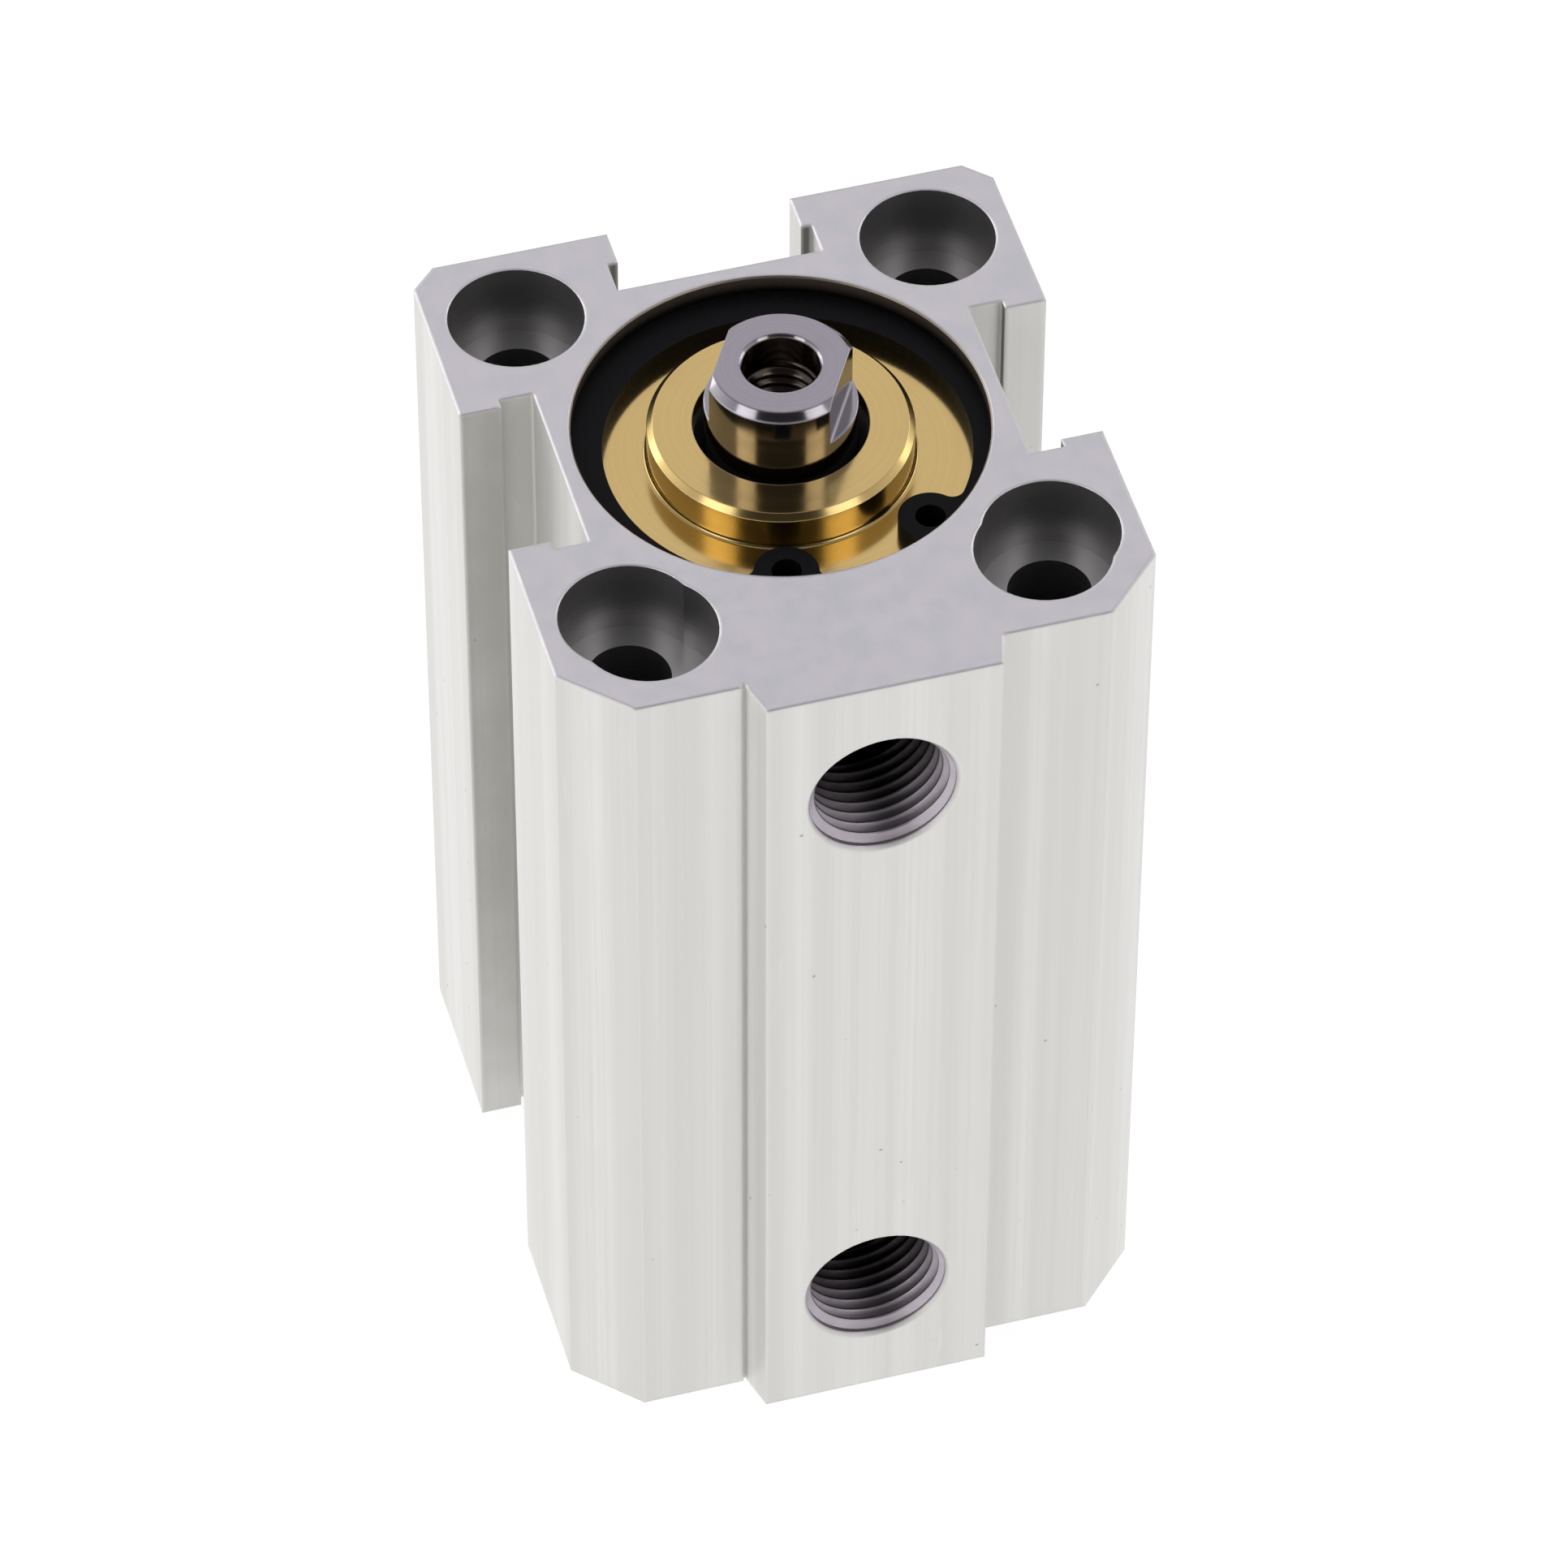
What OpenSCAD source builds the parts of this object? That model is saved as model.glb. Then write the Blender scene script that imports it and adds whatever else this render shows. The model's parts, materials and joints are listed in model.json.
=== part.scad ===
// Compact pneumatic cylinder, double acting, 25 mm bore, female rod thread.
// Millimetres. +Z runs along the rod, out of the front face. The origin is on
// the bore axis, at the rear face. The two air ports face -Y.

/* [Stroke and bore] */
// Travel of the rod
stroke = 35; // [10:5:50]
// Diameter of the bore
bore_d = 25; // [24.8:0.1:25.2]
// Diameter of the piston rod
rod_d = 10; // [9.6:0.2:10]
// Height of the rod end above the front face when retracted
rod_rise = 5.5; // [5:0.5:8]

/* [Barrel] */
// Width of the barrel across the two plain sides
barrel_w = 39.6; // [39.2:0.2:41]
// Distance from the bore axis to the back face
back_reach = 20; // [19.8:0.1:21]
// Distance from the bore axis to the posts beside the port boss
port_reach = 21.9; // [21.5:0.1:23]
// Height of the port boss above those posts
boss_rise = 2.4; // [1.5:0.1:3]
// Width of the port boss at its face
boss_w = 15.5; // [13:0.5:17]
// Width of the port boss at its root
boss_root_w = 16.9; // [16:0.1:18]
// Chamfer of the two corners on the port side
port_chamfer = 4.1; // [2:0.1:4.5]
// Chamfer of the two corners on the back
back_chamfer = 1.7; // [1:0.1:2.5]

/* [T-slots] */
// Width of the slot's mouth
slot_mouth = 12.5; // [11:0.5:13]
// Width of the slot's undercut
slot_undercut = 13.9; // [13.5:0.1:14.5]
// Thickness of the lips over the undercut
slot_lip = 2.8; // [2:0.1:3]
// Distance from the bore axis to the slot's floor
slot_floor = 14.7; // [14.6:0.1:15.2]

/* [Corner holes] */
// Distance between neighbouring corner holes
bolt_pitch = 28; // [27.8:0.1:28.2]
// Diameter of the through hole, for an M5 screw
bolt_hole_d = 5.5; // [5:0.1:5.8]
// Diameter of the counterbore for the screw's head
counterbore_d = 9; // [8.6:0.1:9]
// Depth of the counterbore
counterbore_depth = 5.5; // [4:0.5:6]

/* [Ports] */
// Distance from each end face to its port
port_inset = 10; // [9.8:0.1:10.2]
// Major diameter of the G 1/8 port thread
port_d = 9.728; // [9.6:0.001:9.8]
// Depth of the port thread
port_depth = 8.5; // [7:0.5:8.5]

/* [Rod end] */
// Major diameter of the M5 thread in the rod end
rod_thread_d = 5; // [4:0.5:5]
// Depth of that thread
rod_thread_depth = 10; // [6:1:12]
// Width across the wrench flats
flats_w = 8; // [7.5:0.5:8.5]
// Length of the wrench flats
flats_length = 3.4; // [2:0.2:4]
// Direction that one wrench flat faces, in degrees from +X
flats_angle = -30; // [-90:5:90]

/* [Hidden] */
$fn = 96;
cut = 1;                     // how far a cutting shape runs past a face
gap = 0.05;                  // running clearance on a radius, and at each stop

// Ends of the barrel, measured from the end face inwards; both ends are alike
bore_r = bore_d / 2;
mouth_r = bore_r + 1.1;      // wider mouth that takes a cover's flange
mouth_chamfer = 0.1;
mouth_depth = 5;             // shoulder that the cover's flange sits on
flange_depth = 2.5;          // outer face of the flange
circlip_t = 1.2;
circlip_r = mouth_r + 0.5;
groove_slack = 0.05;         // clearance of the circlip in its groove
land_depth = 7.8;            // end of the cover's sealing land
front_nose_depth = 10.8;     // inner face of the front cover
rear_nose_depth = 9;         // inner face of the rear cover
bumper_rise = 1;             // how far a bumper stands out of its cover
bumper_seat = 0.6;           // how deep it sits in the cover
bumper_inner_r = 6.8;
bumper_outer_r = 9.6;

// Piston
piston_l = 12.1;
piston_r = bore_r - 0.3;
piston_z = rear_nose_depth + bumper_rise + gap;
piston_front_z = piston_z + piston_l;
barrel_l = piston_front_z + stroke + gap + bumper_rise + front_nose_depth;
seal_w = 2.1;                // width of a piston seal groove
seal_inset = 1.05;           // from the piston's end face to that groove
seal_groove_r = bore_r - 2.3;
middle_w = 3.6;              // room for the magnet and the wear ring
middle_z = piston_z + (piston_l - middle_w) / 2;
neck_r = 7;                  // hub that the magnet sits on
magnet_r = bore_r - 1.2;
magnet_washer_t = 0.5;

// Rod, its rear spigot and the screw that clamps the piston
rod_r = rod_d / 2;
rod_top = barrel_l + rod_rise;
spigot_r = 3.5;
head_room = 3.55;            // depth of the recess for the screw's head
head_r = 4.2;
head_h = 2.4;
washer_t = 1;
screw_reach = 9;             // how far the screw enters the rod
o_ring_r = 0.8;              // section radius of the cover O-rings

// Front cover
cover_boss_r = 8.7;
cover_boss_rise = 0.2;       // top of the boss above the front face
cover_mouth_r = 5.75;
cover_lip_t = 1.3;           // lip that keeps the rod seal in
seal_seat_r = 7.25;
seal_h = 3.2;
bush_r = 6;
bush_l = 6;

// ---------- shared shapes ----------

// A ring of rectangular section
module ring(outer, inner, h) {
    difference() {
        cylinder(r = outer, h = h);
        translate([0, 0, -cut]) cylinder(r = inner, h = h + 2 * cut);
    }
}

// An O-ring whose section circle has radius r, at radius mid
module o_ring(mid, r) {
    rotate_extrude() translate([mid, 0]) circle(r = r, $fn = 32);
}

// Puts a shape at all four corner holes; mirror keeps left and right handed
module at_corners() {
    for (side = [0, 1], end = [0, 1])
        mirror([side, 0, 0]) mirror([0, end, 0])
            translate([bolt_pitch / 2, bolt_pitch / 2, 0]) children();
}

// Repeats a shape made for the front end at the rear end
module at_both_ends() {
    children();
    translate([0, 0, barrel_l]) mirror([0, 0, 1]) children();
}

// ---------- barrel ----------

// One T-slot, for the side at the given distance along +X
module t_slot(reach) {
    lip_x = reach - slot_lip;
    translate([slot_floor, -slot_mouth / 2]) square([reach - slot_floor + cut, slot_mouth]);
    translate([slot_floor, -slot_undercut / 2]) square([lip_x - slot_floor, slot_undercut]);
}

// The extrusion's cross-section, without its round holes
module barrel_profile() {
    half = barrel_w / 2;
    boss_y = port_reach + boss_rise;
    root_groove = 0.25;      // fine groove along the left root of the boss
    difference() {
        polygon([
            [half, back_reach - back_chamfer], [half - back_chamfer, back_reach],
            [back_chamfer - half, back_reach], [-half, back_reach - back_chamfer],
            [-half, port_chamfer - port_reach], [port_chamfer - half, -port_reach],
            [-boss_root_w / 2, -port_reach], [-boss_w / 2, -boss_y],
            [boss_w / 2, -boss_y], [boss_root_w / 2, -port_reach],
            [half - port_chamfer, -port_reach], [half, port_chamfer - port_reach]
        ]);
        t_slot(half);
        mirror([1, 0]) t_slot(half);
        rotate(90) t_slot(back_reach);
        translate([-(boss_root_w + root_groove) / 2, -port_reach])
            square([root_groove, 2 * root_groove], center = true);
    }
}

// The mouth of the barrel at the rear end, with its circlip groove
module barrel_mouth() {
    groove_z = flange_depth - circlip_t - groove_slack;
    translate([0, 0, -cut]) cylinder(r = mouth_r, h = mouth_depth + cut);
    translate([0, 0, groove_z]) cylinder(r = circlip_r + 0.1, h = circlip_t + 2 * groove_slack);
    cylinder(r1 = mouth_r + mouth_chamfer, r2 = mouth_r, h = mouth_chamfer);
}

// The four counterbores of one end. Those on the port side overlap the
// extrusion's own cored recess, so they are a little longer than round.
module counterbores() {
    cored_shift = [-0.95, 1.4];
    at_corners() translate([0, 0, -cut]) cylinder(d = counterbore_d, h = counterbore_depth + cut);
    for (side = [0, 1])
        mirror([side, 0, 0]) mirror([0, 1, 0])
            translate([bolt_pitch / 2 + cored_shift[0], bolt_pitch / 2 + cored_shift[1], -cut])
                cylinder(d = counterbore_d, h = counterbore_depth + cut);
}

// One port: chamfered thread, then a narrow passage into the bore
module port() {
    chamfer = 0.27;
    passage_r = 1.4;
    passage_shift = 0.8;     // towards the end face, clear of the piston seal
    face_y = port_reach + boss_rise;
    translate([0, -face_y, port_inset]) rotate([-90, 0, 0]) {
        translate([0, 0, -cut]) cylinder(d = port_d, h = port_depth + cut);
        cylinder(d1 = port_d + 2 * chamfer, d2 = port_d, h = chamfer);
    }
    translate([0, -face_y + cut, port_inset - passage_shift])
        rotate([-90, 0, 0]) cylinder(r = passage_r, h = face_y - bore_r + cut, $fn = 32);
}

module barrel() {
    color("gainsboro") difference() {
        linear_extrude(barrel_l) barrel_profile();
        translate([0, 0, -cut]) cylinder(d = bore_d, h = barrel_l + 2 * cut);
        at_corners() translate([0, 0, -cut]) cylinder(d = bolt_hole_d, h = barrel_l + 2 * cut);
        at_both_ends() {
            barrel_mouth();
            counterbores();
            port();
        }
    }
}

// ---------- covers, circlips and their seals ----------

// Flange, sealing land and nose that both covers share, from the rear end in
module cover_body(nose_depth) {
    land_r = bore_r - gap;
    groove_r = land_r - 2 * o_ring_r;
    groove_w = 2 * o_ring_r + 0.1;
    nose_r = bore_r - 1.7;
    land_mid = (mouth_depth + land_depth) / 2;
    difference() {
        union() {
            translate([0, 0, flange_depth]) cylinder(r = mouth_r - gap, h = mouth_depth - flange_depth);
            translate([0, 0, flange_depth]) cylinder(r = land_r, h = land_depth - flange_depth);
            translate([0, 0, flange_depth]) cylinder(r = nose_r, h = nose_depth - flange_depth);
        }
        translate([0, 0, land_mid - groove_w / 2]) ring(mouth_r, groove_r, groove_w);
        translate([0, 0, nose_depth - bumper_seat]) ring(bumper_outer_r, bumper_inner_r, bumper_seat + cut);
    }
}

// The front cover's boss: chamfered at its top edge and filleted at its base
module cover_boss() {
    chamfer = 0.4;
    fillet = 0.3;
    h = flange_depth + cover_boss_rise;
    steps = 6;
    rotate_extrude() polygon(concat(
        [[0, 0]],
        [for (i = [0 : steps]) let (a = 90 * i / steps)
            [cover_boss_r + fillet - fillet * sin(a), fillet - fillet * cos(a)]],
        [[cover_boss_r, h - chamfer], [cover_boss_r - chamfer, h], [0, h]]
    ));
}

module front_cover() {
    lip_z = cover_boss_rise - cover_lip_t;   // underside of the lip
    color("goldenrod") translate([0, 0, barrel_l]) difference() {
        union() {
            mirror([0, 0, 1]) cover_body(front_nose_depth);
            translate([0, 0, -flange_depth]) cover_boss();
        }
        translate([0, 0, -front_nose_depth - cut]) cylinder(r = bush_r, h = bush_l + cut);
        translate([0, 0, -front_nose_depth]) cylinder(r = rod_r + 0.3, h = front_nose_depth + cut);
        translate([0, 0, lip_z - seal_h]) cylinder(r = seal_seat_r, h = seal_h);
        translate([0, 0, lip_z]) cylinder(r = cover_mouth_r, h = 2 * cut);
    }
}

module rear_cover() {
    head_recess_r = 5.2;
    head_recess_depth = 1.2;
    dish_r = 9.5;
    dish_depth = 0.4;
    color("goldenrod") difference() {
        cover_body(rear_nose_depth);
        translate([0, 0, rear_nose_depth - head_recess_depth])
            cylinder(r = head_recess_r, h = head_recess_depth + cut);
        translate([0, 0, flange_depth - cut]) cylinder(r = dish_r, h = dish_depth + cut);
    }
}

// Internal circlip: thick opposite its opening, with two drilled lugs
module circlip() {
    inner_r = mouth_r - 1.6;
    inner_shift = 0.95;      // makes the ring thin towards its opening
    opening_angle = -78;
    lug_angle = 26;          // from the middle of the opening to each lug
    gap_angle = 15;          // from the middle of the opening to each end
    lug_reach = circlip_r - 2.2;
    lug_r = 2.1;
    lug_hole_d = 2;
    far = 30;
    rotate(opening_angle) difference() {
        linear_extrude(circlip_t) difference() {
            intersection() {
                circle(r = circlip_r);
                offset(r = -0.8) offset(delta = 0.8) union() {
                    difference() {
                        circle(r = circlip_r + 2);
                        translate([inner_shift, 0]) circle(r = inner_r);
                    }
                    for (side = [-1, 1]) rotate(side * lug_angle) translate([lug_reach, 0]) circle(r = lug_r);
                }
            }
            polygon([[0, 0], [far * cos(gap_angle), -far * sin(gap_angle)],
                     [far * cos(gap_angle), far * sin(gap_angle)]]);
        }
        for (side = [-1, 1])
            rotate(side * lug_angle) translate([lug_reach, 0, -cut])
                cylinder(d = lug_hole_d, h = circlip_t + 2 * cut, $fn = 32);
    }
}

module front_circlip() {
    color("dimgray") translate([0, 0, barrel_l - flange_depth]) circlip();
}

module rear_circlip() {
    color("dimgray") translate([0, 0, flange_depth - circlip_t]) circlip();
}

// O-ring of a cover, in the middle of the cover's land
module cover_o_ring() {
    translate([0, 0, (mouth_depth + land_depth) / 2]) o_ring(bore_r - o_ring_r - 0.02, o_ring_r);
}

module front_cover_o_ring() {
    color("black") translate([0, 0, barrel_l]) mirror([0, 0, 1]) cover_o_ring();
}

module rear_cover_o_ring() {
    color("black") cover_o_ring();
}

// ---------- rod guide and bumpers ----------

// Lip seal that also wipes the rod; its open side faces the pressure
module rod_seal() {
    top = seal_h - 0.1;
    inner = rod_r + gap;
    outer = seal_seat_r - 0.05;
    color("black") translate([0, 0, barrel_l + cover_boss_rise - cover_lip_t - seal_h + 0.05])
        rotate_extrude() polygon([
            [inner, 0], [inner + 0.7, 0], [inner + 0.95, 1.3], [outer - 0.6, 1.3],
            [outer - 0.4, 0], [outer, 0], [outer, top], [cover_mouth_r - 0.1, top],
            [inner, top - 0.5], [inner, top - 0.9], [inner + 0.2, top - 1.2], [inner + 0.2, 0.6]
        ]);
}

module rod_bush() {
    color("peru") translate([0, 0, barrel_l - front_nose_depth + 0.2])
        ring(bush_r, rod_r + gap, bush_l - 0.3);
}

// Elastic ring that the piston stops against
module bumper() {
    ring(bumper_outer_r - 0.05, bumper_inner_r + 0.05, bumper_seat + bumper_rise);
}

module front_bumper() {
    color("black") translate([0, 0, barrel_l - front_nose_depth - bumper_rise]) bumper();
}

module rear_bumper() {
    color("black") translate([0, 0, rear_nose_depth - bumper_seat]) bumper();
}

// ---------- piston ----------

// One half of the piston, from its outer end face to the middle of the piston
module piston_half() {
    disc_h = (piston_l - middle_w) / 2;
    difference() {
        union() {
            cylinder(r = piston_r, h = disc_h);
            cylinder(r = neck_r, h = piston_l / 2);
        }
        translate([0, 0, seal_inset]) ring(bore_r + cut, seal_groove_r, seal_w);
        translate([0, 0, -cut]) cylinder(r = spigot_r + 0.02, h = piston_l);
    }
}

module piston_rear_half() {
    color("silver") translate([0, 0, piston_z]) difference() {
        piston_half();
        translate([0, 0, -cut]) cylinder(r = head_r + 0.9, h = head_room + cut);
    }
}

module piston_front_half() {
    groove_r = spigot_r + 1.4;
    groove_z = 1.2;
    groove_w = 1.5;
    color("silver") translate([0, 0, piston_front_z]) mirror([0, 0, 1]) difference() {
        piston_half();
        translate([0, 0, groove_z]) cylinder(r = groove_r, h = groove_w);
    }
}

module rod_o_ring() {
    section_r = 0.66;
    color("black") translate([0, 0, piston_front_z - 1.95]) o_ring(spigot_r + 0.04 + section_r, section_r);
}

module piston_magnet() {
    color("darkslategray") translate([0, 0, middle_z])
        ring(magnet_r, neck_r, middle_w - magnet_washer_t);
}

module magnet_washer() {
    color("black") translate([0, 0, middle_z + middle_w - magnet_washer_t])
        ring(magnet_r, neck_r, magnet_washer_t);
}

// Guide strip round the magnet, with its slanted joint
module piston_wear_ring() {
    inner = magnet_r + 0.15;
    side = 0.1;
    h = middle_w - 2 * side;
    split = 0.6;
    color("ivory") translate([0, 0, middle_z + side]) difference() {
        ring(bore_r - gap, inner, h);
        translate([inner, 0, h / 2]) rotate([30, 0, 0])
            cube([6, split, 4 * h], center = true);
    }
}

// Lip seal for the piston; its lip leans towards the piston's end face
module piston_seal() {
    side = 0.1;
    w = seal_w - 2 * side;
    inner = seal_groove_r + 0.1;
    outer = bore_r - gap;
    rotate_extrude() polygon([
        [inner, 0], [inner + 0.6, 0], [inner + 0.8, 0.9], [outer - 0.7, 0.9], [outer - 0.25, 0],
        [outer, 0.15], [outer, 0.7], [outer - 0.3, w], [inner, w]
    ]);
}

module front_piston_seal() {
    color("black") translate([0, 0, piston_front_z - seal_inset - 0.1]) mirror([0, 0, 1]) piston_seal();
}

module rear_piston_seal() {
    color("black") translate([0, 0, piston_z + seal_inset + 0.1]) piston_seal();
}

// ---------- rod and its screw ----------

module screw_washer() {
    color("lightgray") translate([0, 0, piston_z + head_room - washer_t])
        ring(head_r + 0.6, rod_thread_d / 2 + 0.15, washer_t);
}

module piston_screw() {
    socket_d = 3.4;
    socket_depth = 1.5;
    shank_r = rod_thread_d / 2 - 0.05;
    under_head = piston_z + head_room - washer_t;
    color("gray") difference() {
        union() {
            translate([0, 0, under_head - head_h]) cylinder(r = head_r, h = head_h);
            translate([0, 0, under_head - cut]) cylinder(r = shank_r, h = washer_t + screw_reach + cut);
        }
        translate([0, 0, under_head - head_h - cut]) cylinder(d = socket_d, h = socket_depth + cut, $fn = 6);
    }
}

module piston_rod() {
    end_chamfer = 0.5;
    thread_chamfer = 0.2;
    spigot_z = piston_z + head_room + 0.2;
    thread_r = rod_thread_d / 2;
    screw_hole_depth = screw_reach + 1;
    color("silver") difference() {
        union() {
            translate([0, 0, piston_front_z]) cylinder(r = rod_r, h = rod_top - piston_front_z - end_chamfer);
            translate([0, 0, rod_top - end_chamfer])
                cylinder(r1 = rod_r, r2 = rod_r - end_chamfer, h = end_chamfer);
            translate([0, 0, spigot_z]) cylinder(r = spigot_r, h = piston_front_z - spigot_z + cut);
        }
        rotate(flats_angle) for (side = [0, 1])
            mirror([side, 0, 0]) translate([flats_w / 2, -rod_d, rod_top - flats_length])
                cube([rod_d, 2 * rod_d, flats_length + cut]);
        translate([0, 0, rod_top - rod_thread_depth]) cylinder(r = thread_r, h = rod_thread_depth + cut);
        translate([0, 0, rod_top - thread_chamfer])
            cylinder(r1 = thread_r, r2 = thread_r + thread_chamfer, h = thread_chamfer);
        translate([0, 0, spigot_z - cut]) cylinder(r = thread_r, h = screw_hole_depth + cut);
    }
}

barrel();
front_cover();
rear_cover();
front_circlip();
rear_circlip();
front_cover_o_ring();
rear_cover_o_ring();
rod_seal();
rod_bush();
front_bumper();
rear_bumper();
piston_front_half();
piston_rear_half();
piston_magnet();
magnet_washer();
piston_wear_ring();
front_piston_seal();
rear_piston_seal();
rod_o_ring();
piston_screw();
screw_washer();
piston_rod();
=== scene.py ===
import json
import math

import bmesh
import bpy
from mathutils import Matrix, Vector


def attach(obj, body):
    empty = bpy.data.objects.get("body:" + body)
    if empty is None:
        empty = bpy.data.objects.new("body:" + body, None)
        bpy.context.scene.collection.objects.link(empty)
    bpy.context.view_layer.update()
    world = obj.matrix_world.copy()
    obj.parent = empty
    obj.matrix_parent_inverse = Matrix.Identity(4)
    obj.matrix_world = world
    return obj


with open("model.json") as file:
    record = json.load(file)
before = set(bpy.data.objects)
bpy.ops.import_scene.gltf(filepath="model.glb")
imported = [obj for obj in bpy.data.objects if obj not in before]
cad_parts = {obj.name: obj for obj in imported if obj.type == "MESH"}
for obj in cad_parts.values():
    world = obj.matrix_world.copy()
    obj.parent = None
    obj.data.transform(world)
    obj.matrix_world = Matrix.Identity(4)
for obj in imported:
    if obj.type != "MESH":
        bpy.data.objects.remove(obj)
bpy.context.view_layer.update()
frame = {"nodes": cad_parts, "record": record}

MM = 0.001

# Sizes that the materials and the threads share with the CAD model.
BODY_LENGTH = 69.0 * MM
BOLT_SPACING = 14.0 * MM          # from the bore's axis to a corner hole, along X and along Y
COUNTERBORE_REACH = 6.4 * MM      # how far a counterbore's wall lies from its hole's axis at most
MOUTH_RADIUS = 14.3 * MM
SLOT_HALF_WIDTH = 6.95 * MM       # of a T-slot's undercut
SLOT_FLOOR = 14.7 * MM            # from the bore's axis
SLOT_LIP = 17.0 * MM              # hidden side of a T-slot's lip, from the bore's axis
HALF_WIDTH = 19.8 * MM
BACK_REACH = 20.0 * MM
PORT_INSET = 10.0 * MM
PORT_FACE = -24.3 * MM
PORT_MAJOR_RADIUS = 4.864 * MM
PORT_MINOR_RADIUS = 4.32 * MM
PORT_PITCH = 0.907 * MM
PORT_CHAMFER = 0.3 * MM
PORT_THREAD_LENGTH = 7.9 * MM
CIRCLIP_OPENING = -78.0            # direction of the circlip's opening, in degrees
LUG_ANGLE = 26.0                  # from that direction to each lug
LUG_REACH = 11.9 * MM
ROD_TOP = 74.5 * MM
ROD_MAJOR_RADIUS = 2.5 * MM
ROD_MINOR_RADIUS = 2.1 * MM
ROD_PITCH = 0.8 * MM
ROD_LEAD_IN = 2.3 * MM
ROD_THREAD_LENGTH = 6.6 * MM

# The camera stands where the photograph was taken from.
CAMERA_AZIMUTH = -15.945
CAMERA_ELEVATION = 47.323
CAMERA_DISTANCE = 0.5795
CAMERA_ROLL = 0.19
CAMERA_LENS = 213.8
LOOK_AT = Vector((-8.419, -30.497, 69.0)) * MM

# Brightness of the light tent in four directions.
HORIZON_LIGHT = 0.86
ZENITH_LIGHT = 0.42
LEFT_LIGHT = 0.48
CAMERA_SIDE_LIGHT = 0.04


# ---------------------------------------------------------------------------- node recipes

class Recipe:
    """A material under construction: each method adds a node and returns its output socket."""

    def __init__(self, name):
        self.material = bpy.data.materials.new(name)
        self.material.use_nodes = True
        self.tree = self.material.node_tree
        self.tree.nodes.clear()
        self.coords = self.node("ShaderNodeTexCoord")
        self.place = self.coords.outputs["Object"]
        self.facing = self.coords.outputs["Normal"]
        self.shader = self.node("ShaderNodeBsdfPrincipled")
        output = self.node("ShaderNodeOutputMaterial")
        self.tree.links.new(self.shader.outputs[0], output.inputs[0])

    def node(self, kind, **settings):
        made = self.tree.nodes.new(kind)
        for key, value in settings.items():
            setattr(made, key, value)
        return made

    def feed(self, socket, value):
        """Joins a socket to another node's output, or sets its value."""
        if isinstance(value, bpy.types.NodeSocket):
            self.tree.links.new(value, socket)
        else:
            socket.default_value = value

    def math(self, operation, *values):
        made = self.node("ShaderNodeMath", operation=operation)
        for socket, value in zip(made.inputs, values):
            self.feed(socket, value)
        return made.outputs[0]

    def vector(self, operation, *values):
        made = self.node("ShaderNodeVectorMath", operation=operation)
        for socket, value in zip(made.inputs, values):
            self.feed(socket, value)
        return made.outputs["Value" if operation in ("LENGTH", "DOT_PRODUCT") else "Vector"]

    def split(self, vector):
        made = self.node("ShaderNodeSeparateXYZ")
        self.feed(made.inputs[0], vector)
        return made.outputs

    def join(self, x, y, z):
        made = self.node("ShaderNodeCombineXYZ")
        for socket, value in zip(made.inputs, (x, y, z)):
            self.feed(socket, value)
        return made.outputs[0]

    def noise(self, vector, stretch=(1, 1, 1), scale=1.0, detail=3.0, roughness=0.5):
        made = self.node("ShaderNodeTexNoise")
        made.inputs["Scale"].default_value = scale
        made.inputs["Detail"].default_value = detail
        made.inputs["Roughness"].default_value = roughness
        stretched = self.vector("MULTIPLY", vector, stretch)
        self.feed(made.inputs["Vector"], stretched)
        return made.outputs[0]

    def cells(self, vector, stretch=(1, 1, 1), scale=1.0):
        """Distance to the nearest of a field of scattered points."""
        made = self.node("ShaderNodeTexVoronoi")
        made.inputs["Scale"].default_value = scale
        stretched = self.vector("MULTIPLY", vector, stretch)
        self.feed(made.inputs["Vector"], stretched)
        return made.outputs["Distance"]

    def ramp(self, value, low, high, from_value=0.0, to_value=1.0):
        """A smooth step of value from low to high."""
        made = self.node("ShaderNodeMapRange", interpolation_type="SMOOTHSTEP")
        for socket, number in zip(made.inputs, (value, low, high, from_value, to_value)):
            self.feed(socket, number)
        return made.outputs[0]

    def blend(self, amount, first, second):
        """Mixes two colours, or two colour sockets."""
        made = self.node("ShaderNodeMix", data_type="RGBA")
        self.feed(made.inputs["Factor"], amount)
        for socket, value in ((made.inputs[6], first), (made.inputs[7], second)):
            self.feed(socket, value if isinstance(value, bpy.types.NodeSocket) else (*value, 1))
        return made.outputs[2]

    def between(self, amount, first, second):
        """Mixes two numbers, or two number sockets."""
        made = self.node("ShaderNodeMix", data_type="FLOAT")
        self.feed(made.inputs["Factor"], amount)
        self.feed(made.inputs[2], first)
        self.feed(made.inputs[3], second)
        return made.outputs[0]

    def lean(self, amount, first, second):
        """Mixes two normals."""
        made = self.node("ShaderNodeMix", data_type="VECTOR")
        self.feed(made.inputs["Factor"], amount)
        self.feed(made.inputs[4], first)
        self.feed(made.inputs[5], second)
        return made.outputs[1]

    def bump(self, height, depth, strength=1.0, normal=None):
        made = self.node("ShaderNodeBump")
        made.inputs["Strength"].default_value = strength
        made.inputs["Distance"].default_value = depth
        self.feed(made.inputs["Height"], height)
        if normal is not None:
            self.feed(made.inputs["Normal"], normal)
        return made.outputs[0]

    def soft_edge(self, radius):
        """The normal as it would be with every edge rounded to a radius."""
        made = self.node("ShaderNodeBevel", samples=6)
        made.inputs["Radius"].default_value = radius
        return made.outputs[0]

    def edge(self, rounded):
        """0 on a face and up to 1 along an edge, from a rounded normal."""
        true_normal = self.node("ShaderNodeNewGeometry").outputs["True Normal"]
        return self.ramp(self.vector("DOT_PRODUCT", rounded, true_normal), 0.995, 0.90)

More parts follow.
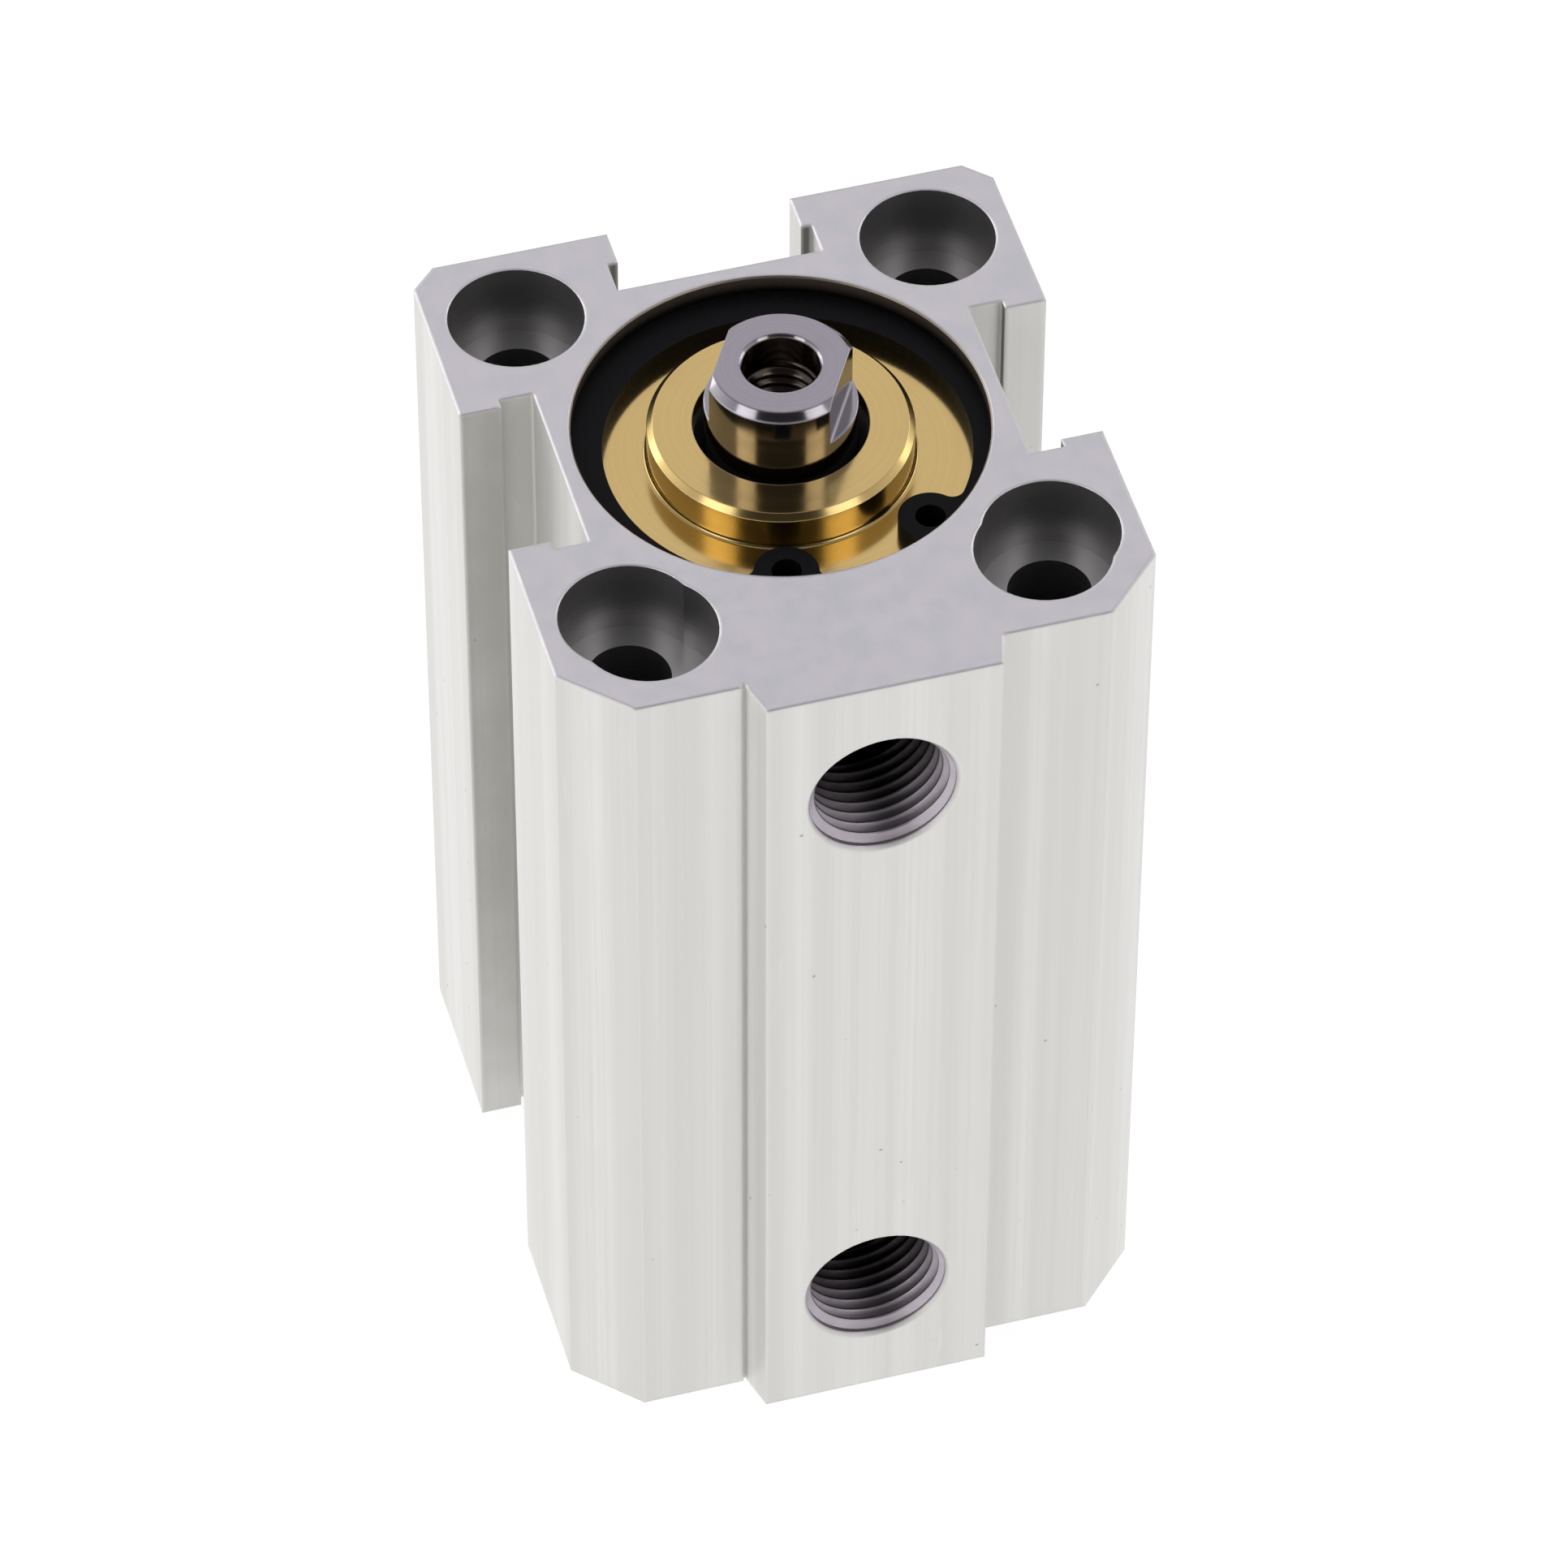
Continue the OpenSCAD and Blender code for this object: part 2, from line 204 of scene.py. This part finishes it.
    def finish(self, colour, roughness, normal, metallic, **constants):
        self.feed(self.shader.inputs["Base Color"], colour)
        self.feed(self.shader.inputs["Roughness"], roughness)
        self.feed(self.shader.inputs["Metallic"], metallic)
        self.feed(self.shader.inputs["Normal"], normal)
        for socket, value in constants.items():
            self.shader.inputs[socket.replace("_", " ")].default_value = value
        return self.material


# ------------------------------------------------------------------------------- materials

def depth_below_face(r):
    """How deep a point lies below the nearer end face of the body."""
    z = r.split(r.place)[2]
    middle = BODY_LENGTH / 2
    return r.math("SUBTRACT", middle, r.math("ABSOLUTE", r.math("SUBTRACT", z, middle)))


def body_regions(r, depth):
    """Masks for the milled end faces, the corner holes, the bore and the ports of the body."""
    x, y, z = r.split(r.place)
    normal_x, normal_y, normal_z = r.split(r.facing)
    level = r.math("GREATER_THAN", r.math("ABSOLUTE", normal_z), 0.85)
    end_face = r.math("MULTIPLY", level, r.math("LESS_THAN", depth, 0.02 * MM))
    below = r.math("SUBTRACT", 1.0, end_face)

    hole_x = r.math("SUBTRACT", x, r.math("MULTIPLY", r.math("SIGN", x), BOLT_SPACING))
    hole_y = r.math("SUBTRACT", y, r.math("MULTIPLY", r.math("SIGN", y), BOLT_SPACING))
    reach = r.vector("LENGTH", r.join(hole_x, hole_y, 0.0))
    inward = r.math("ADD", r.math("MULTIPLY", normal_x, hole_x),
                    r.math("MULTIPLY", normal_y, hole_y))
    near_hole = r.math("LESS_THAN", reach, COUNTERBORE_REACH)
    faces_in = r.math("MAXIMUM", level, r.math("LESS_THAN", inward, -0.3 * MM))
    hole = r.math("MULTIPLY", below, r.math("MULTIPLY", near_hole, faces_in))

    radius = r.vector("LENGTH", r.join(x, y, 0.0))
    bore = r.math("MULTIPLY", below, r.math("LESS_THAN", radius, MOUTH_RADIUS))

    middle = BODY_LENGTH / 2
    port_z = r.math("SUBTRACT", r.math("ABSOLUTE", r.math("SUBTRACT", z, middle)),
                    middle - PORT_INSET)
    port_radius = r.vector("LENGTH", r.join(x, port_z, 0.0))
    in_port = r.math("MULTIPLY", r.math("LESS_THAN", port_radius, PORT_MAJOR_RADIUS + 0.05 * MM),
                     r.math("LESS_THAN", y, -13.0 * MM))
    port = r.math("MULTIPLY", in_port, r.math("GREATER_THAN", y, PORT_FACE + 0.02 * MM))
    return level, end_face, hole, bore, port


def slot_regions(r):
    """Masks for the inside of the three T-slots and for the hidden side of their lips, where shade is
    painted.
    """
    x, y, z = r.split(r.place)
    normal_x, normal_y, normal_z = r.split(r.facing)
    aside = r.math("ABSOLUTE", x)
    inside = 0.0
    lip = 0.0
    for across, away, turned_away, reach in ((r.math("ABSOLUTE", y), aside, normal_x, HALF_WIDTH),
                                             (aside, y, normal_y, BACK_REACH)):
        narrow = r.math("LESS_THAN", across, SLOT_HALF_WIDTH + 0.02 * MM)
        beyond = r.math("GREATER_THAN", away, SLOT_FLOOR - 0.02 * MM)
        before = r.math("LESS_THAN", away, reach - 0.02 * MM)
        slot = r.math("MULTIPLY", narrow, r.math("MULTIPLY", beyond, before))
        faces_out = r.math("GREATER_THAN", r.math("ABSOLUTE", turned_away), 0.7)
        off_floor = r.math("GREATER_THAN", away, SLOT_FLOOR + 0.5 * MM)
        hidden = r.math("MULTIPLY", faces_out, off_floor)
        inside = r.math("MAXIMUM", inside, slot)
        lip = r.math("MAXIMUM", lip, r.math("MULTIPLY", slot, hidden))
    return inside, lip


def anodised_aluminium():
    """Drawn body with lines along its length and milled end faces; its holes, bore, ports and slots carry
    painted shade.
    """
    r = Recipe("anodised_aluminium")
    depth = depth_below_face(r)
    level, end_face, hole, bore, port = body_regions(r, depth)
    machined = r.math("MAXIMUM", hole, r.math("MAXIMUM", bore, port))
    slot, lip = slot_regions(r)

    bands = r.noise(r.place, (330, 330, 3), detail=2.0)
    fine = r.noise(r.place, (3600, 3600, 22), detail=4.0, roughness=0.65)
    cloud = r.noise(r.place, scale=150, detail=4.0)
    blotch = r.noise(r.place, scale=620, detail=3.0, roughness=0.6)
    pits = r.ramp(r.cells(r.place, scale=420), 0.07, 0.03)
    rare = r.ramp(r.noise(r.place, scale=260, detail=1.0), 0.50, 0.58)
    pits = r.math("MULTIPLY", pits, rare)
    scratch = r.ramp(r.noise(r.place, (1500, 1500, 160), detail=2.0), 0.72, 0.80)

    drawn = r.blend(r.ramp(bands, 0.30, 0.72), (0.685, 0.678, 0.652), (0.80, 0.796, 0.776))
    drawn = r.blend(r.ramp(fine, 0.42, 0.75, 0.0, 0.45), drawn, (0.66, 0.655, 0.635))
    drawn = r.blend(r.ramp(cloud, 0.45, 0.80, 0.0, 0.25), drawn, (0.72, 0.71, 0.69))
    drawn = r.blend(r.math("MULTIPLY", pits, 0.7), drawn, (0.31, 0.30, 0.29))
    drawn = r.blend(r.math("MULTIPLY", scratch, 0.20), drawn, (0.88, 0.88, 0.87))

    cutting = r.noise(r.place, (2600, 500, 500), detail=3.0, roughness=0.6)
    milled = r.blend(r.ramp(blotch, 0.35, 0.68), (0.700, 0.675, 0.680), (0.680, 0.680, 0.695))
    milled = r.blend(r.ramp(cutting, 0.35, 0.75, 0.0, 0.30), milled, (0.735, 0.715, 0.735))
    milled = r.blend(r.ramp(cloud, 0.40, 0.75, 0.0, 0.35), milled, (0.715, 0.70, 0.71))

    rings = r.noise(r.join(0.0, 0.0, depth), (1, 1, 4200), detail=3.0, roughness=0.6)
    # Painted shade: the corner holes' walls are far darker than the metal, darkest near the face and
    # lighter further down; their level shoulders are light grey.
    deep = r.ramp(depth, 0.2 * MM, 5.2 * MM)
    drilled_with_painted_shade = r.blend(deep, (0.27, 0.262, 0.268), (0.46, 0.45, 0.45))
    drilled_with_painted_shade = r.blend(r.ramp(rings, 0.40, 0.70, 0.0, 0.25), drilled_with_painted_shade, (0.24, 0.235, 0.24))
    drilled_with_painted_shade = r.blend(level, drilled_with_painted_shade, (0.86, 0.85, 0.84))
    # Painted light and shade: the bore's wall is a lit brown just below the rim and fades to near black
    # deeper down.
    bore_painted_shade = r.blend(r.ramp(depth, 0.2 * MM, 1.3 * MM), (0.34, 0.29, 0.25), (0.015, 0.013, 0.011))
    # Painted shade: the ports' walls fade from light grey at the face to near black deeper in.
    outer = r.ramp(r.split(r.place)[1], PORT_FACE + 5.2 * MM, PORT_FACE + 0.3 * MM)
    port_painted_shade = r.blend(outer, (0.040, 0.035, 0.036), (0.52, 0.475, 0.52))
    port_painted_shade = r.blend(r.ramp(blotch, 0.35, 0.70, 0.0, 0.15), port_painted_shade, (0.20, 0.17, 0.21))

    # Painted shade: the inside of every slot is darkened a little, and the left slot's lip is darker still
    # in mottled patches.
    left_lip = r.math("LESS_THAN", r.split(r.place)[0], -SLOT_LIP)
    left_lip_mottle = r.math("MULTIPLY", left_lip, r.ramp(cloud, 0.30, 0.70, 0.30, 0.50))
    painted_slot_shade_and_lip_mottle = r.math("MULTIPLY", slot, r.math("ADD", 0.08, left_lip_mottle))
    drawn = r.blend(painted_slot_shade_and_lip_mottle, drawn, (0.43, 0.42, 0.395))
    # Painted shade: the hidden side of each slot's lip is painted nearly black.
    drawn = r.blend(r.math("MULTIPLY", lip, 0.9), drawn, (0.13, 0.125, 0.115))
    colour = r.blend(end_face, drawn, milled)
    colour = r.blend(hole, colour, drilled_with_painted_shade)
    colour = r.blend(bore, colour, bore_painted_shade)
    colour = r.blend(port, colour, port_painted_shade)
    rounded = r.soft_edge(0.38 * MM)
    # Painted highlight: the edges, except in the holes, bore and ports, are lightened.
    painted_edge_highlight = r.math("MULTIPLY", r.edge(rounded), r.math("SUBTRACT", 1.0, machined))
    colour = r.blend(r.math("MULTIPLY", painted_edge_highlight, 0.6), colour, (0.88, 0.875, 0.87))

    roughness = r.ramp(bands, 0.3, 0.7, 0.42, 0.50)
    roughness = r.between(end_face, roughness, r.ramp(blotch, 0.3, 0.7, 0.30, 0.38))
    roughness = r.between(machined, roughness, r.ramp(rings, 0.3, 0.7, 0.36, 0.46))
    metallic = r.between(r.math("MAXIMUM", machined, end_face), 0.62, 0.9)

    lines = r.math("ADD", fine, r.math("MULTIPLY", bands, 0.8))
    relief = r.between(end_face, lines, r.math("MULTIPLY", cutting, 0.5))
    relief = r.between(machined, relief, r.math("MULTIPLY", rings, 0.5))
    relief = r.math("SUBTRACT", relief, r.math("MULTIPLY", pits, 1.5))
    plain = r.node("ShaderNodeNewGeometry").outputs["Normal"]
    normal = r.bump(relief, 0.010 * MM, 0.30, r.lean(machined, rounded, plain))
    return r.finish(colour, roughness, normal, metallic)


def turned(r, lines=6500.0):
    """Fine rings round the Z axis, as a lathe tool leaves them."""
    x, y, z = r.split(r.place)
    radius = r.vector("LENGTH", r.join(x, y, 0.0))
    profile = r.join(radius, z, 0.0)
    fine = r.noise(profile, (lines, lines, 1), detail=3.0, roughness=0.7)
    broad = r.noise(profile, (lines / 9, lines / 9, 1), detail=1.0)
    return fine, broad


def under_lug_holes(r):
    """Mask for the spots of the cover's flange below the circlip's holes, where shade is painted."""
    x, y, z = r.split(r.place)
    mask = 0.0
    for side in (-1, 1):
        angle = math.radians(CIRCLIP_OPENING + side * LUG_ANGLE)
        away_x = r.math("SUBTRACT", x, LUG_REACH * math.cos(angle))
        away_y = r.math("SUBTRACT", y, LUG_REACH * math.sin(angle))
        away = r.vector("LENGTH", r.join(away_x, away_y, 0.0))
        mask = r.math("MAXIMUM", mask, r.ramp(away, 1.5 * MM, 1.1 * MM))
    return mask


def gold_anodised():
    r = Recipe("gold_anodised")
    fine, broad = turned(r)
    cloud = r.noise(r.place, scale=240, detail=4.0, roughness=0.6)
    rounded = r.soft_edge(0.10 * MM)
    colour = r.blend(r.ramp(fine, 0.30, 0.75), (0.67, 0.487, 0.190), (0.71, 0.520, 0.210))
    colour = r.blend(r.ramp(cloud, 0.45, 0.80, 0.0, 0.35), colour, (0.58, 0.435, 0.185))
    # Painted highlight: the cover's edges are lightened towards a pale gold.
    colour = r.blend(r.math("MULTIPLY", r.edge(rounded), 0.4), colour, (0.96, 0.76, 0.36))
    # Painted shade: the flange below the circlip's holes is painted near black.
    colour = r.blend(under_lug_holes(r), colour, (0.015, 0.013, 0.010))
    roughness = r.between(r.ramp(broad, 0.3, 0.7), 0.14, 0.19)
    normal = r.bump(fine, 0.0010 * MM, 0.14, rounded)
    return r.finish(colour, roughness, normal, 1.0)


def ground_steel():
    """Bright rod, with its threaded hole painted dark as shade."""
    r = Recipe("ground_steel")
    x, y, z = r.split(r.place)
    fine, broad = turned(r, 8000.0)
    cloud = r.noise(r.place, scale=500, detail=3.0)
    rounded = r.soft_edge(0.22 * MM)
    colour = r.blend(r.ramp(fine, 0.30, 0.75), (0.355, 0.333, 0.360), (0.395, 0.373, 0.400))
    colour = r.blend(r.ramp(cloud, 0.5, 0.8, 0.0, 0.3), colour, (0.30, 0.28, 0.30))
    radius = r.vector("LENGTH", r.join(x, y, 0.0))
    # Painted shade: the threaded hole's wall and its ridge are painted dark.
    in_hole = r.ramp(radius, ROD_MAJOR_RADIUS + 0.06 * MM, ROD_MAJOR_RADIUS + 0.02 * MM)
    colour = r.blend(in_hole, colour, (0.17, 0.14, 0.12))
    roughness = r.between(r.ramp(broad, 0.3, 0.7), 0.10, 0.15)
    normal = r.bump(fine, 0.0008 * MM, 0.15, rounded)
    return r.finish(colour, roughness, normal, 1.0)


def black_spring_steel():
    r = Recipe("black_spring_steel")
    grain = r.noise(r.place, scale=3500, detail=4.0, roughness=0.7)
    patch = r.noise(r.place, scale=300, detail=3.0)
    rounded = r.soft_edge(0.08 * MM)
    colour = r.blend(r.ramp(grain, 0.35, 0.75), (0.0035, 0.0035, 0.0045), (0.008, 0.008, 0.0095))
    colour = r.blend(r.ramp(patch, 0.5, 0.8, 0.0, 0.4), colour, (0.007, 0.007, 0.010))
    # Painted highlight: the circlip's edges are lightened a little.
    colour = r.blend(r.math("MULTIPLY", r.edge(rounded), 0.4), colour, (0.035, 0.034, 0.036))
    roughness = r.ramp(grain, 0.3, 0.7, 0.44, 0.56)
    normal = r.bump(grain, 0.008 * MM, 0.25, rounded)
    return r.finish(colour, roughness, normal, 0.0, Specular_IOR_Level=0.10)


def rubber(name, dark, light, low=0.38, high=0.55):
    r = Recipe(name)
    grain = r.noise(r.place, scale=5000, detail=3.0)
    patch = r.noise(r.place, scale=420, detail=3.0)
    colour = r.blend(r.ramp(patch, 0.35, 0.7), dark, light)
    roughness = r.ramp(patch, 0.3, 0.7, low, high)
    normal = r.bump(grain, 0.008 * MM, 0.3)
    return r.finish(colour, roughness, normal, 0.0)


def turned_metal(name, dark, light, low=0.25, high=0.38):
    r = Recipe(name)
    fine, broad = turned(r, 5000.0)
    colour = r.blend(r.ramp(fine, 0.35, 0.7), dark, light)
    roughness = r.ramp(broad, 0.3, 0.7, low, high)
    normal = r.bump(fine, 0.006 * MM, 0.35, r.soft_edge(0.08 * MM))
    return r.finish(colour, roughness, normal, 1.0)


def sintered_bronze():
    r = Recipe("sintered_bronze")
    pores = r.ramp(r.cells(r.place, scale=5200), 0.30, 0.12)
    patch = r.noise(r.place, scale=700, detail=3.0)
    colour = r.blend(r.ramp(patch, 0.35, 0.7), (0.42, 0.27, 0.13), (0.55, 0.37, 0.19))
    colour = r.blend(r.math("MULTIPLY", pores, 0.7), colour, (0.12, 0.08, 0.05))
    roughness = r.ramp(patch, 0.3, 0.7, 0.42, 0.55)
    height = r.math("SUBTRACT", 0.0, pores)
    return r.finish(colour, roughness, r.bump(height, 0.02 * MM, 0.5), 0.9)


def moulded(name, dark, light, speck):
    """A plain moulding with a fine speckle, such as a guide strip or a bonded magnet."""
    r = Recipe(name)
    grain = r.noise(r.place, scale=4200, detail=4.0, roughness=0.7)
    specks = r.ramp(r.cells(r.place, scale=2600), 0.22, 0.10)
    colour = r.blend(r.ramp(grain, 0.35, 0.7), dark, light)
    colour = r.blend(r.math("MULTIPLY", specks, 0.5), colour, speck)
    roughness = r.ramp(grain, 0.3, 0.7, 0.48, 0.62)
    return r.finish(colour, roughness, r.bump(grain, 0.010 * MM, 0.3), 0.0)


def make_materials():
    return {
        "anodised_aluminium": anodised_aluminium(),
        "gold_anodised": gold_anodised(),
        "ground_steel": ground_steel(),
        "black_spring_steel": black_spring_steel(),
        "nitrile_rubber": rubber("nitrile_rubber", (0.010, 0.010, 0.011), (0.022, 0.021, 0.022)),
        "polyurethane": rubber("polyurethane", (0.07, 0.07, 0.08), (0.11, 0.11, 0.12)),
        "sintered_bronze": sintered_bronze(),
        "plain_aluminium": turned_metal("plain_aluminium", (0.62, 0.62, 0.63), (0.76, 0.76, 0.77)),
        "zinc_steel": turned_metal("zinc_steel", (0.48, 0.49, 0.51), (0.62, 0.63, 0.66)),
        "wear_strip": moulded("wear_strip", (0.62, 0.58, 0.47), (0.74, 0.70, 0.60),
                              (0.45, 0.41, 0.32)),
        "bonded_magnet": moulded("bonded_magnet", (0.035, 0.035, 0.038), (0.07, 0.07, 0.075),
                                 (0.16, 0.16, 0.17)),
    }


def node_slots():
    """The material slot of each CAD node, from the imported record."""
    return {part["node"]: part["material_slot"] for part in frame["record"]["subparts"]}


def dress_nodes(materials):
    for name, slot in node_slots().items():
        node = frame["nodes"][name]
        node.data.materials.clear()
        node.data.materials.append(materials[slot])


# --------------------------------------------------------------------------------- threads

def ridge_profile(major, minor, pitch, height):
    """Corners of the thread's section as (radius, along the axis); height runs from 0 to 1."""
    crest = major - (major - minor) * height
    shoulder = crest + (major - crest) * 0.18
    root = major + 0.04 * MM
    width = pitch * (0.1 + 0.9 * height)
    return [(root, -0.47 * width), (major, -0.43 * width), (shoulder, -0.13 * width),
            (crest, -0.06 * width), (crest, 0.06 * width), (shoulder, 0.13 * width),
            (major, 0.43 * width), (root, 0.47 * width)]


def thread_ridge(name, origin, across, up, along, major, minor, pitch, length):
    """A right-hand thread ridge standing inward from a hole's wall, as one closed solid."""
    steps_per_turn = 64
    turns = length / pitch
    steps = round(turns * steps_per_turn)
    run_out = steps_per_turn * 0.4
    mesh = bmesh.new()
    rings = []
    for i in range(steps + 1):
        angle = 2 * math.pi * i / steps_per_turn
        height = min(1.0, (i + 1) / run_out, (steps - i + 1) / run_out)
        outward = across * math.cos(angle) + up * math.sin(angle)
        centre = origin + along * (pitch * i / steps_per_turn)
        section = ridge_profile(major, minor, pitch, height)
        rings.append([mesh.verts.new(centre + outward * r + along * s) for r, s in section])
    for near, far in zip(rings, rings[1:]):
        for k in range(len(near)):
            following = (k + 1) % len(near)
            mesh.faces.new((near[k], near[following], far[following], far[k]))
    mesh.faces.new(rings[0][::-1])
    mesh.faces.new(rings[-1])
    bmesh.ops.recalc_face_normals(mesh, faces=mesh.faces)
    data = bpy.data.meshes.new(name)
    mesh.to_mesh(data)
    mesh.free()
    piece = bpy.data.objects.new(name, data)
    bpy.context.scene.collection.objects.link(piece)
    for face in data.polygons:
        face.use_smooth = len(face.vertices) == 4
    return piece


def port_thread(name, z, material):
    origin = Vector((0.0, PORT_FACE + PORT_CHAMFER + PORT_PITCH * 0.16, z))
    piece = thread_ridge(name, origin, Vector((0, 0, 1)), Vector((1, 0, 0)), Vector((0, 1, 0)),
                         PORT_MAJOR_RADIUS, PORT_MINOR_RADIUS, PORT_PITCH, PORT_THREAD_LENGTH - PORT_PITCH)
    piece.data.materials.append(material)
    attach(piece, "barrel_assembly")


def rod_thread(material):
    origin = Vector((0.0, 0.0, ROD_TOP - ROD_LEAD_IN - ROD_THREAD_LENGTH))
    piece = thread_ridge("rod_thread_ridge", origin, Vector((1, 0, 0)), Vector((0, 1, 0)),
                         Vector((0, 0, 1)), ROD_MAJOR_RADIUS, ROD_MINOR_RADIUS, ROD_PITCH,
                         ROD_THREAD_LENGTH)
    piece.data.materials.append(material)
    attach(piece, "rod_assembly")


# ------------------------------------------------------------------------- camera and light

def direction(azimuth, elevation):
    """Unit vector from the object; azimuth 0 is towards -Y and 90 towards +X, in degrees."""
    a, e = math.radians(azimuth), math.radians(elevation)
    return Vector((math.sin(a) * math.cos(e), -math.cos(a) * math.cos(e), math.sin(e)))


def make_camera():
    data = bpy.data.cameras.new("camera")
    data.lens = CAMERA_LENS
    data.sensor_width = 36.0
    data.clip_start = 0.01
    data.clip_end = 20.0
    camera = bpy.data.objects.new("camera", data)
    bpy.context.scene.collection.objects.link(camera)
    back = direction(CAMERA_AZIMUTH, CAMERA_ELEVATION)
    azimuth, roll = math.radians(CAMERA_AZIMUTH), math.radians(CAMERA_ROLL)
    right = Vector((math.cos(azimuth), math.sin(azimuth), 0))
    up = back.cross(right)
    tilted_right = right * math.cos(roll) + up * math.sin(roll)
    tilted_up = up * math.cos(roll) - right * math.sin(roll)
    turn = Matrix((tilted_right, tilted_up, back)).transposed().to_4x4()
    camera.matrix_world = Matrix.Translation(LOOK_AT + back * CAMERA_DISTANCE) @ turn
    bpy.context.scene.camera = camera


def softbox(name, azimuth, elevation, distance, width, height, brightness, colour=(1, 1, 1)):
    """A rectangular lamp aimed at the object; brightness is what a mirror shows of it."""
    data = bpy.data.lights.new(name, "AREA")
    data.shape = "RECTANGLE"
    data.size = width
    data.size_y = height
    data.energy = brightness * math.pi * width * height
    data.color = colour
    lamp = bpy.data.objects.new(name, data)
    bpy.context.scene.collection.objects.link(lamp)
    towards = direction(azimuth, elevation)
    centre = Vector((0, 0, 0.04))
    lamp.location = centre + towards * distance
    lamp.rotation_mode = "QUATERNION"
    lamp.rotation_quaternion = (-towards).to_track_quat("-Z", "Y")


def make_lights():
    """Softboxes at both sides of the camera and behind the object, as in a light tent."""
    relative = CAMERA_AZIMUTH
    softbox("front_left", relative - 53, 37, 0.6, 0.22, 0.28, 1.6)
    softbox("front_right", relative + 53, 37, 0.6, 0.22, 0.28, 1.4)
    softbox("rear_left", relative - 125, 24, 0.6, 0.34, 0.30, 1.4)
    softbox("rear_right", relative + 125, 24, 0.6, 0.34, 0.30, 1.1)
    softbox("rear_top", relative + 180, 50, 0.7, 0.42, 0.34, 0.45, (0.93, 0.91, 1.0))


def make_world():
    """A light tent: white near the horizon, greyer above, dark around the camera."""
    world = bpy.data.worlds.new("room")
    bpy.context.scene.world = world
    world.use_nodes = True
    r = Recipe.__new__(Recipe)    # only its helpers: a world has no surface shader
    r.tree = world.node_tree
    background = r.tree.nodes["Background"]
    towards = r.node("ShaderNodeTexCoord").outputs["Generated"]
    x, y, z = r.split(towards)
    brightness = r.ramp(z, 0.22, 0.72, HORIZON_LIGHT, ZENITH_LIGHT)
    left = r.math("MULTIPLY", r.ramp(x, 0.35, -0.75), LEFT_LIGHT)
    low = r.ramp(z, 0.65, 0.20)
    brightness = r.math("ADD", brightness, r.math("MULTIPLY", left, low))
    camera_side = direction(CAMERA_AZIMUTH, CAMERA_ELEVATION)
    nearness = r.vector("DOT_PRODUCT", towards, camera_side)
    dark = r.ramp(nearness, math.cos(math.radians(42)), math.cos(math.radians(24)))
    brightness = r.between(dark, brightness, CAMERA_SIDE_LIGHT)
    colour = r.blend(r.ramp(z, 0.15, 0.60), (1.0, 0.995, 0.98), (0.96, 0.945, 1.0))
    r.feed(background.inputs["Color"], colour)
    r.feed(background.inputs["Strength"], brightness)


def make_floor():
    size = 3.0
    mesh = bmesh.new()
    bmesh.ops.create_grid(mesh, x_segments=8, y_segments=8, size=size / 2)
    data = bpy.data.meshes.new("floor")
    mesh.to_mesh(data)
    mesh.free()
    floor = bpy.data.objects.new("floor", data)
    bpy.context.scene.collection.objects.link(floor)
    material = bpy.data.materials.new("pale_floor")
    material.use_nodes = True
    tree = material.node_tree
    tree.nodes.clear()
    output = tree.nodes.new("ShaderNodeOutputMaterial")
    total = tree.nodes.new("ShaderNodeAddShader")
    glow = tree.nodes.new("ShaderNodeEmission")
    glow.inputs["Color"].default_value = (1, 1, 1, 1)
    glow.inputs["Strength"].default_value = 0.88
    matte = tree.nodes.new("ShaderNodeBsdfDiffuse")
    matte.inputs["Color"].default_value = (0.26, 0.26, 0.26, 1)
    tree.links.new(glow.outputs[0], total.inputs[0])
    tree.links.new(matte.outputs[0], total.inputs[1])
    tree.links.new(total.outputs[0], output.inputs[0])
    data.materials.append(material)


bpy.context.scene.view_settings.view_transform = "Standard"
materials = make_materials()
dress_nodes(materials)
port_thread("port_front_thread", BODY_LENGTH - PORT_INSET, materials["anodised_aluminium"])
port_thread("port_rear_thread", PORT_INSET, materials["anodised_aluminium"])
rod_thread(materials["ground_steel"])
make_camera()
make_lights()
make_world()
make_floor()
